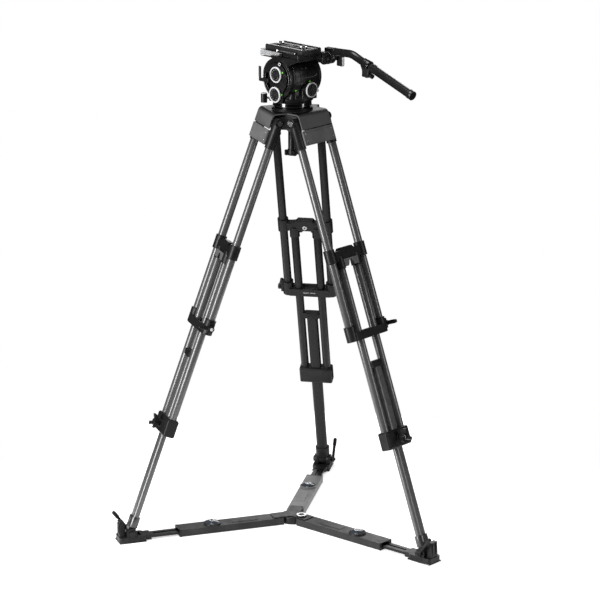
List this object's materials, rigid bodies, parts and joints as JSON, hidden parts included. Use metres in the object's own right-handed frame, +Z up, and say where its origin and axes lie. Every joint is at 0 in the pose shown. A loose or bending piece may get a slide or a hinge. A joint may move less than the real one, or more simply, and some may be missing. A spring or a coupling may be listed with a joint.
{
  "type": "fluid head tripod",
  "caption": "Fluid pan and tilt camera head with a bent pan bar on a two-stage twin-tube tripod with a floor spreader.",
  "frame": {"origin": "on the pan axis at floor level, under the spreader hub's pad", "axes": "+Z up along the pan axis; the head's pan bar points between +X and -Y"},
  "size_m": [0.9285, 0.898, 1.41],
  "materials": {
    "yoke_grey": "satin grey paint",
    "crown_paint": "satin dark grey paint",
    "carbon_tube": "satin carbon-fibre laminate",
    "black_casting": "fine-textured black",
    "black_plastic": "moulded satin black",
    "rail_metal": "dark anodised",
    "button_gloss": "glossy dark",
    "spreader_grey": "satin grey paint",
    "bright_steel": "brushed",
    "satin_aluminium": "satin turned",
    "head_paint": "satin black",
    "plate_anodised": "black anodised",
    "knob_rim": "black grip in a bright rim",
    "bar_paint": "satin black",
    "grip_rubber": "matt rubber"
  },
  "bodies": {
    "crown": {"crown_casting": "crown_paint", "leg_hinge_pins": "bright_steel", "head_half_ball": "satin_aluminium"},
    "bowl_knob": {"bowl_clamp_knob": "black_plastic"},
    "spreader": {"spreader_hub": "black_casting", "spreader_sleeves": "spreader_grey"},
    "upper_stage_a": {"leg_yoke_a": "yoke_grey", "upper_tubes_a": "carbon_tube", "upper_clamp_frame_a": "black_casting"},
    "upper_lever_a": {"upper_clamp_lever_a": "black_plastic"},
    "middle_stage_a": {"carriage_a": "black_casting", "middle_tubes_a": "carbon_tube", "lower_clamp_block_a": "black_casting"},
    "lower_knob_a": {"lower_clamp_knob_a": "black_plastic"},
    "lower_stage_a": {"lower_tube_a": "carbon_tube"},
    "foot_a": {"foot_block_a": "black_casting", "spreader_rail_a": "rail_metal"},
    "foot_catch_a": {"foot_lever_a": "black_plastic"},
    "rail_lock_a": {"spreader_lock_a": "button_gloss"},
    "upper_stage_b": {"leg_yoke_b": "yoke_grey", "upper_tubes_b": "carbon_tube", "upper_clamp_frame_b": "black_casting"},
    "upper_lever_b": {"upper_clamp_lever_b": "black_plastic"},
    "middle_stage_b": {"carriage_b": "black_casting", "middle_tubes_b": "carbon_tube", "lower_clamp_block_b": "black_casting"},
    "lower_knob_b": {"lower_clamp_knob_b": "black_plastic"},
    "lower_stage_b": {"lower_tube_b": "carbon_tube"},
    "foot_b": {"foot_block_b": "black_casting", "spreader_rail_b": "rail_metal"},
    "foot_catch_b": {"foot_lever_b": "black_plastic"},
    "rail_lock_b": {"spreader_lock_b": "button_gloss"},
    "upper_stage_c": {"leg_yoke_c": "yoke_grey", "upper_tubes_c": "carbon_tube", "upper_clamp_frame_c": "black_casting"},
    "upper_lever_c": {"upper_clamp_lever_c": "black_plastic"},
    "middle_stage_c": {"carriage_c": "black_casting", "middle_tubes_c": "carbon_tube", "lower_clamp_block_c": "black_casting"},
    "lower_knob_c": {"lower_clamp_knob_c": "black_plastic"},
    "lower_stage_c": {"lower_tube_c": "carbon_tube"},
    "foot_c": {"foot_block_c": "black_casting", "spreader_rail_c": "rail_metal"},
    "foot_catch_c": {"foot_lever_c": "black_plastic"},
    "rail_lock_c": {"spreader_lock_c": "button_gloss"},
    "pan": {"pan_housing": "head_paint", "drum_housing": "head_paint"},
    "tilt": {"tilt_platform": "head_paint", "tilt_shaft_and_springs": "bright_steel"},
    "plate": {"camera_plate": "plate_anodised"},
    "plate_lever": {"plate_lock_lever": "bright_steel"},
    "tilt_drag": {"tilt_drag_knob": "knob_rim"},
    "pan_drag": {"pan_drag_knob": "knob_rim"},
    "counterbalance": {"counterbalance_knob": "knob_rim"},
    "tilt_brake": {"tilt_brake_lever": "black_plastic"},
    "pan_brake": {"pan_brake_lever": "black_plastic"},
    "bar": {"pan_bar_bend": "bar_paint"},
    "grip": {"pan_bar_grip": "grip_rubber"},
    "bar_clamp": {"pan_bar_clamp_lever": "black_plastic"},
    "bar_lock": {"pan_bar_lock_knob": "black_plastic"}
  },
  "joints": [
    {"name": "spreader_drop", "type": "slide", "parent": "crown", "child": "spreader", "axis": [0, 0, -1], "range_m": [-0.18994, 0.14295]},
    {"name": "leg_swing_a", "type": "hinge", "parent": "crown", "child": "upper_stage_a", "pos_m": [-0.06051, -0.02084, 1.202], "axis": [0.3256, -0.9455, 0], "range_deg": [-3.5, 3.5]},
    {"name": "middle_slide_a", "type": "slide", "parent": "upper_stage_a", "child": "middle_stage_a", "axis": [-0.3234, -0.1114, -0.9397], "range_m": [-0.2, 0.15]},
    {"name": "lower_slide_a", "type": "slide", "parent": "middle_stage_a", "child": "lower_stage_a", "axis": [-0.3234, -0.1114, -0.9397], "range_m": [-0.029, 0.029]},
    {"name": "ankle_a", "type": "hinge", "parent": "lower_stage_a", "child": "foot_a", "pos_m": [-0.46475, -0.16002, 0.02738], "axis": [0.3256, -0.9455, 0], "range_deg": [-3.6, 3.6]},
    {"name": "upper_lever_turn_a", "type": "hinge", "parent": "upper_stage_a", "child": "upper_lever_a", "pos_m": [-0.2286, -0.16967, 0.63222], "axis": [0.3256, -0.9455, 0], "range_deg": [-60, 0]},
    {"name": "lower_knob_turn_a", "type": "hinge", "parent": "middle_stage_a", "child": "lower_knob_a", "pos_m": [-0.3779, -0.13012, 0.34407], "axis": [-0.8885, -0.3059, 0.342], "continuous": true},
    {"name": "foot_lever_turn_a", "type": "hinge", "parent": "foot_a", "child": "foot_catch_a", "pos_m": [-0.46475, -0.16002, 0.02738], "axis": [0.3256, -0.9455, 0], "range_deg": [0, 45]},
    {"name": "rail_lock_press_a", "type": "slide", "parent": "spreader", "child": "rail_lock_a", "axis": [0, 0, -1], "range_m": [0, 0.0025], "stiffness_N_per_m": 800},
    {"name": "leg_swing_b", "type": "hinge", "parent": "crown", "child": "upper_stage_b", "pos_m": [0.0483, -0.04199, 1.202], "axis": [0.6561, 0.7547, 0], "range_deg": [-3.5, 3.5]},
    {"name": "middle_slide_b", "type": "slide", "parent": "upper_stage_b", "child": "middle_stage_b", "axis": [0.2581, -0.2244, -0.9397], "range_m": [-0.2, 0.15]},
    {"name": "lower_slide_b", "type": "slide", "parent": "middle_stage_b", "child": "lower_stage_b", "axis": [0.2581, -0.2244, -0.9397], "range_m": [-0.029, 0.029]},
    {"name": "ankle_b", "type": "hinge", "parent": "lower_stage_b", "child": "foot_b", "pos_m": [0.37096, -0.32247, 0.02738], "axis": [0.6561, 0.7547, 0], "range_deg": [-3.6, 3.6]},
    {"name": "upper_lever_turn_b", "type": "hinge", "parent": "upper_stage_b", "child": "upper_lever_b", "pos_m": [0.26124, -0.11314, 0.63222], "axis": [0.6561, 0.7547, 0], "range_deg": [-60, 0]},
    {"name": "lower_knob_turn_b", "type": "hinge", "parent": "middle_stage_b", "child": "lower_knob_b", "pos_m": [0.30164, -0.26221, 0.34407], "axis": [0.7092, -0.6165, 0.342], "continuous": true},
    {"name": "foot_lever_turn_b", "type": "hinge", "parent": "foot_b", "child": "foot_catch_b", "pos_m": [0.37096, -0.32247, 0.02738], "axis": [0.6561, 0.7547, 0], "range_deg": [0, 45]},
    {"name": "rail_lock_press_b", "type": "slide", "parent": "spreader", "child": "rail_lock_b", "axis": [0, 0, -1], "range_m": [0, 0.0025], "stiffness_N_per_m": 800},
    {"name": "leg_swing_c", "type": "hinge", "parent": "crown", "child": "upper_stage_c", "pos_m": [0.01221, 0.06282, 1.202], "axis": [-0.9816, 0.1908, 0], "range_deg": [-3.5, 3.5]},
    {"name": "middle_slide_c", "type": "slide", "parent": "upper_stage_c", "child": "middle_stage_c", "axis": [0.0653, 0.3357, -0.9397], "range_m": [-0.2, 0.15]},
    {"name": "lower_slide_c", "type": "slide", "parent": "middle_stage_c", "child": "lower_stage_c", "axis": [0.0653, 0.3357, -0.9397], "range_m": [-0.029, 0.029]},
    {"name": "ankle_c", "type": "hinge", "parent": "lower_stage_c", "child": "foot_c", "pos_m": [0.09379, 0.48249, 0.02738], "axis": [-0.9816, 0.1908, 0], "range_deg": [-3.6, 3.6]},
    {"name": "upper_lever_turn_c", "type": "hinge", "parent": "upper_stage_c", "child": "upper_lever_c", "pos_m": [-0.03264, 0.28281, 0.63222], "axis": [-0.9816, 0.1908, 0], "range_deg": [-60, 0]},
    {"name": "lower_knob_turn_c", "type": "hinge", "parent": "middle_stage_c", "child": "lower_knob_c", "pos_m": [0.07626, 0.39233, 0.34407], "axis": [0.1793, 0.9224, 0.342], "continuous": true},
    {"name": "foot_lever_turn_c", "type": "hinge", "parent": "foot_c", "child": "foot_catch_c", "pos_m": [0.09379, 0.48249, 0.02738], "axis": [-0.9816, 0.1908, 0], "range_deg": [0, 45]},
    {"name": "rail_lock_press_c", "type": "slide", "parent": "spreader", "child": "rail_lock_c", "axis": [0, 0, -1], "range_m": [0, 0.0025], "stiffness_N_per_m": 800},
    {"name": "bowl_knob_turn", "type": "hinge", "parent": "crown", "child": "bowl_knob", "pos_m": [0, 0, 1.1], "axis": [0, 0, 1], "continuous": true},
    {"name": "pan_turn", "type": "hinge", "parent": "crown", "child": "pan", "pos_m": [0, 0, 1.25], "axis": [0, 0, 1], "continuous": true},
    {"name": "tilt", "type": "hinge", "parent": "pan", "child": "tilt", "pos_m": [0, 0, 1.318], "axis": [0.7314, 0.682, 0], "range_deg": [-90, 55]},
    {"name": "plate_slide", "type": "slide", "parent": "tilt", "child": "plate", "axis": [-0.682, 0.7314, 0], "range_m": [-0.03, 0.03]},
    {"name": "plate_lever_turn", "type": "hinge", "parent": "tilt", "child": "plate_lever", "pos_m": [-0.04036, -0.02123, 1.394], "axis": [0, 0, 1], "range_deg": [-50, 0]},
    {"name": "tilt_drag_turn", "type": "hinge", "parent": "pan", "child": "tilt_drag", "pos_m": [-0.04267, -0.04662, 1.3305], "axis": [-0.7314, -0.682, 0], "range_deg": [0, 300]},
    {"name": "pan_drag_turn", "type": "hinge", "parent": "pan", "child": "pan_drag", "pos_m": [-0.04539, -0.0437, 1.2735], "axis": [-0.7314, -0.682, 0], "range_deg": [0, 300]},
    {"name": "counterbalance_turn", "type": "hinge", "parent": "pan", "child": "counterbalance", "pos_m": [0.0475, -0.03774, 1.287], "axis": [0.682, -0.7314, 0], "continuous": true},
    {"name": "tilt_brake_turn", "type": "hinge", "parent": "pan", "child": "tilt_brake", "pos_m": [-0.06707, -0.01605, 1.308], "axis": [-0.7314, -0.682, 0], "range_deg": [0, 25]},
    {"name": "pan_brake_turn", "type": "hinge", "parent": "pan", "child": "pan_brake", "pos_m": [-0.05976, -0.00923, 1.258], "axis": [0, 0, 1], "range_deg": [0, 10]},
    {"name": "bar_angle", "type": "hinge", "parent": "tilt", "child": "bar", "pos_m": [0.10652, 0.00088, 1.37], "axis": [-0.7314, -0.682, 0], "range_deg": [-30, 60]},
    {"name": "grip_slide", "type": "slide", "parent": "bar", "child": "grip", "axis": [0.6437, -0.6903, -0.3305], "range_m": [0, 0.045]},
    {"name": "bar_clamp_turn", "type": "hinge", "parent": "bar", "child": "bar_clamp", "pos_m": [0.11639, 0.01009, 1.37], "axis": [0.7314, 0.682, 0], "range_deg": [-90, 20]},
    {"name": "bar_lock_turn", "type": "hinge", "parent": "bar", "child": "bar_lock", "pos_m": [0.21413, -0.11453, 1.342], "axis": [0.6437, -0.6903, -0.3305], "continuous": true}
  ],
  "couplings": [
    {"joint": "lower_slide_a", "follows": "leg_swing_a", "m_per_rad": -0.455},
    {"joint": "ankle_a", "follows": "leg_swing_a", "ratio": -1},
    {"joint": "lower_slide_b", "follows": "leg_swing_b", "m_per_rad": -0.455},
    {"joint": "ankle_b", "follows": "leg_swing_b", "ratio": -1},
    {"joint": "middle_slide_b", "follows": "middle_slide_a", "ratio": 1},
    {"joint": "lower_slide_c", "follows": "leg_swing_c", "m_per_rad": -0.455},
    {"joint": "ankle_c", "follows": "leg_swing_c", "ratio": -1},
    {"joint": "middle_slide_c", "follows": "middle_slide_a", "ratio": 1},
    {"joint": "spreader_drop", "follows": "middle_slide_a", "ratio": 0.93969}
  ]
}
